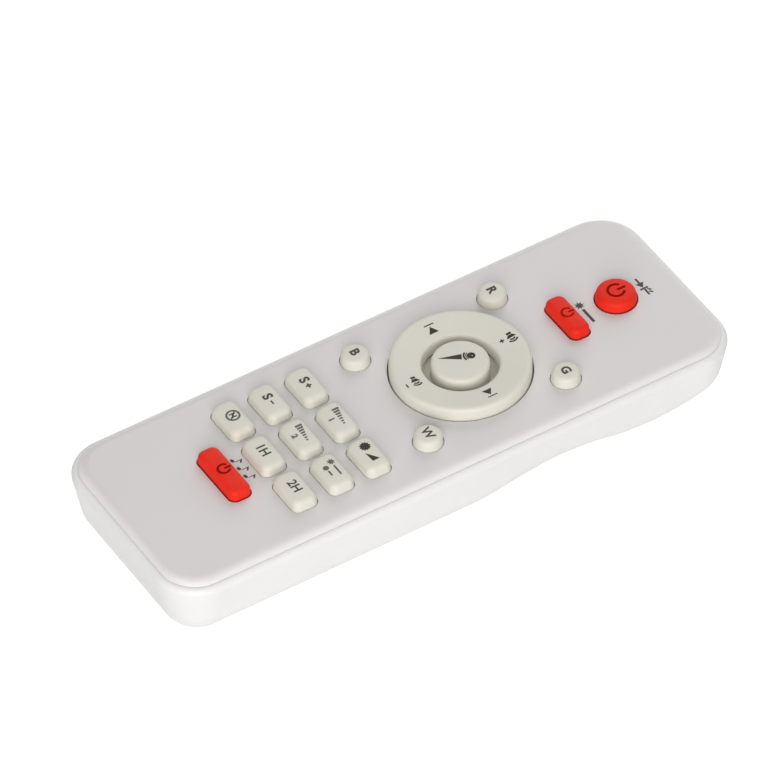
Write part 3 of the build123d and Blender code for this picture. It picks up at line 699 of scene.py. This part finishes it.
def speaker(x, y, sign):
    """A loudspeaker facing +X with two waves, and its sign, a plus or minus, below it."""
    cone = polygon((-0.66, -0.5), (0.1, -1.05), (0.1, 1.05), (-0.66, 0.5))
    return [bar(x - 1.08, y - 0.52, x - 1.08, y + 0.52, 0.56), cone + (x, y),
            band(0.66, 0.36, -55, 55, (x, y)), band(1.22, 0.36, -50, 50, (x, y)), sign]


def skip_sign(x, y, side):
    """A triangle pointing outwards, with an upright bar past its point."""
    return [polygon((x, y - 0.04), (x - side * 1.75, y + 1.05), (x - side * 1.75, y - 1.12)),
            bar(x + side * 0.48, y - 1.05, x + side * 0.48, y + 1.12, 0.26)]


def note(x, y, size):
    """A quaver: a tilted oval head, and a stem that ends in a flag."""
    t = np.radians(np.arange(0, 360, 20))
    head = np.stack([0.30 * np.cos(t) - 0.08 * np.sin(t), 0.20 * np.sin(t) + 0.10 * np.cos(t)], -1)
    stem = polygon((0.3, 0.24), (0.4, 0.2), (0.4, 0.85), (0.8, 0.6), (0.8, 0.85), (0.3, 1.2))
    return [head * size + (x, y), stem * size + (x, y)]


def starburst(x, y, radius, points=8, waist=0.5):
    """A star whose outline swings between a long and a short radius."""
    t = np.radians(np.arange(2 * points) * 180 / points)
    reach = np.where(np.arange(2 * points) % 2, radius * waist, radius)
    return np.stack([x + reach * np.cos(t), y + reach * np.sin(t)], -1)


def fade_sign(digit):
    """Seven strokes that shrink to the right, over the number of the fade."""
    count = 7
    x = np.linspace(-2.1, 2.1, count)
    tops = np.linspace(1.55, 0.45, count)
    widths = np.linspace(0.48, 0.34, count)
    strokes = [bar(a, 0.05, a, top, width) for a, top, width in zip(x, tops, widths)]
    return [filled(strokes), word(digit, 1.35, (0, -1.3), 0.06)]


microphone = [polygon((-2.6, -3.5), (0.1, 0.3), (-1.2, 1.02), (-1.32, 0.66)),
              band(1.5, 0.4, 206, 292, (0.15, 2.43)), band(1.06, 0.22, 196, 302, (0.15, 2.43)),
              disc(0.86, (0.15, 2.43)), disc(0.13, (0.3, 2.6))]
beam_sign = [starburst(-2.3, 0, 1.1), bar(-1.0, 0, 3.1, 0, 0.62)]
diode_sign = [bar(-2.6, -0.2, -1.2, -0.2, 0.46),
              polygon((-1.15, -1.1), (0.32, -0.2), (-1.15, 0.7)),
              bar(0.58, -1.1, 0.58, 0.7, 0.46), bar(0.9, -0.2, 2.6, -0.2, 0.46),
              bar(1.0, 0.3, 1.6, 0.9, 0.38), bar(1.75, 0.25, 2.35, 0.85, 0.38)]
notes_sign = note(-2.9, -0.5, 1.65) + note(-0.4, -0.5, 1.65) + note(2.1, -0.5, 1.65)
sun_sign = [starburst(-1.66, 0.2, 1.22, 12, 0.74),
            polygon((-0.05, -0.75), (2.5, 1.0), (2.5, -0.55))]
beam_light_sign = [starburst(-1.75, 0.85, 0.9), bar(-0.6, 0.85, 2.2, 0.85, 0.38),
                   disc(0.6, (-0.75, -0.85)), bar(0.2, -0.85, 1.6, -0.85, 0.38)]
hour_off_sign = [filled([arc(1.5, 0, 352, steps=45), arc(1.1, 0, 352, steps=45)]),
                 filled([polygon((-0.62, -0.66), (-0.28, -0.66), (-0.28, -0.16), (0.28, -0.16),
                                 (0.28, -0.66), (0.62, -0.66), (0.62, 0.66), (0.28, 0.66),
                                 (0.28, 0.16), (-0.28, 0.16), (-0.28, 0.66), (-0.62, 0.66))]),
                 filled([bar(-0.85, 0.85, 0.85, -0.85, 0.26)])]
speed_letter = word("S", 2.2, (-0.75, 0))
ring_signs = (speaker(0, 11.99, plus_sign(-0.25, 9.94))
              + speaker(0, -10.5, bar(0.1, -12.8, 1.1, -12.8, 0.34))
              + skip_sign(-11.25, 0, -1) + skip_sign(11.25, 0, 1))

KEY_PRINTS = {
    letter_ink: {"red": [word("R", 2.05)], "green": [word("G", 2.05)], "blue": [word("B", 2.05)],
                 "white": [word("W", 2.05, weight=0.06)],
                 "speed_up": [speed_letter, filled([plus_sign(1.02, -0.1, 0.62, 0.2)])],
                 "speed_down": [speed_letter, filled([bar(0.55, -0.1, 1.65, -0.1, 0.34)])],
                 "timer_one": [word("1H", 2.0, weight=0.06)],
                 "timer_two": [word("2H", 2.0, weight=0.06)]},
    grey_ink: {"fade_one": fade_sign("1"), "fade_two": fade_sign("2"), "timer_off": hour_off_sign,
               "beam_light": [filled(beam_light_sign)]},
    dark_ink: {"brightness": [filled(sun_sign)], "centre": [filled(microphone)]},
    red_key_ink: {"lamp": [filled(power_sign(3.9, 0.55))],
                  "music": [filled(power_sign(2.85, 0.45))]},
    faint_red_ink: {"beam": [filled(power_sign(2.8, 0.42))]},
}
for finish, prints in KEY_PRINTS.items():
    for name, parts in prints.items():
        printed(name + "_print", name + "_key", name + "_key", parts, finish)
printed("ring_print", "nav_ring", "ring", [filled(ring_signs)], dished=True)
COVER_PRINTS = {"lamp": (diode_sign, 57.15), "beam": (beam_sign, 43.4),
                "music": (notes_sign, -37.0)}
for name, (sign, y) in COVER_PRINTS.items():
    printed(name + "_label", "top_cover", "handset", [filled(sign)], label_ink, (0, y))
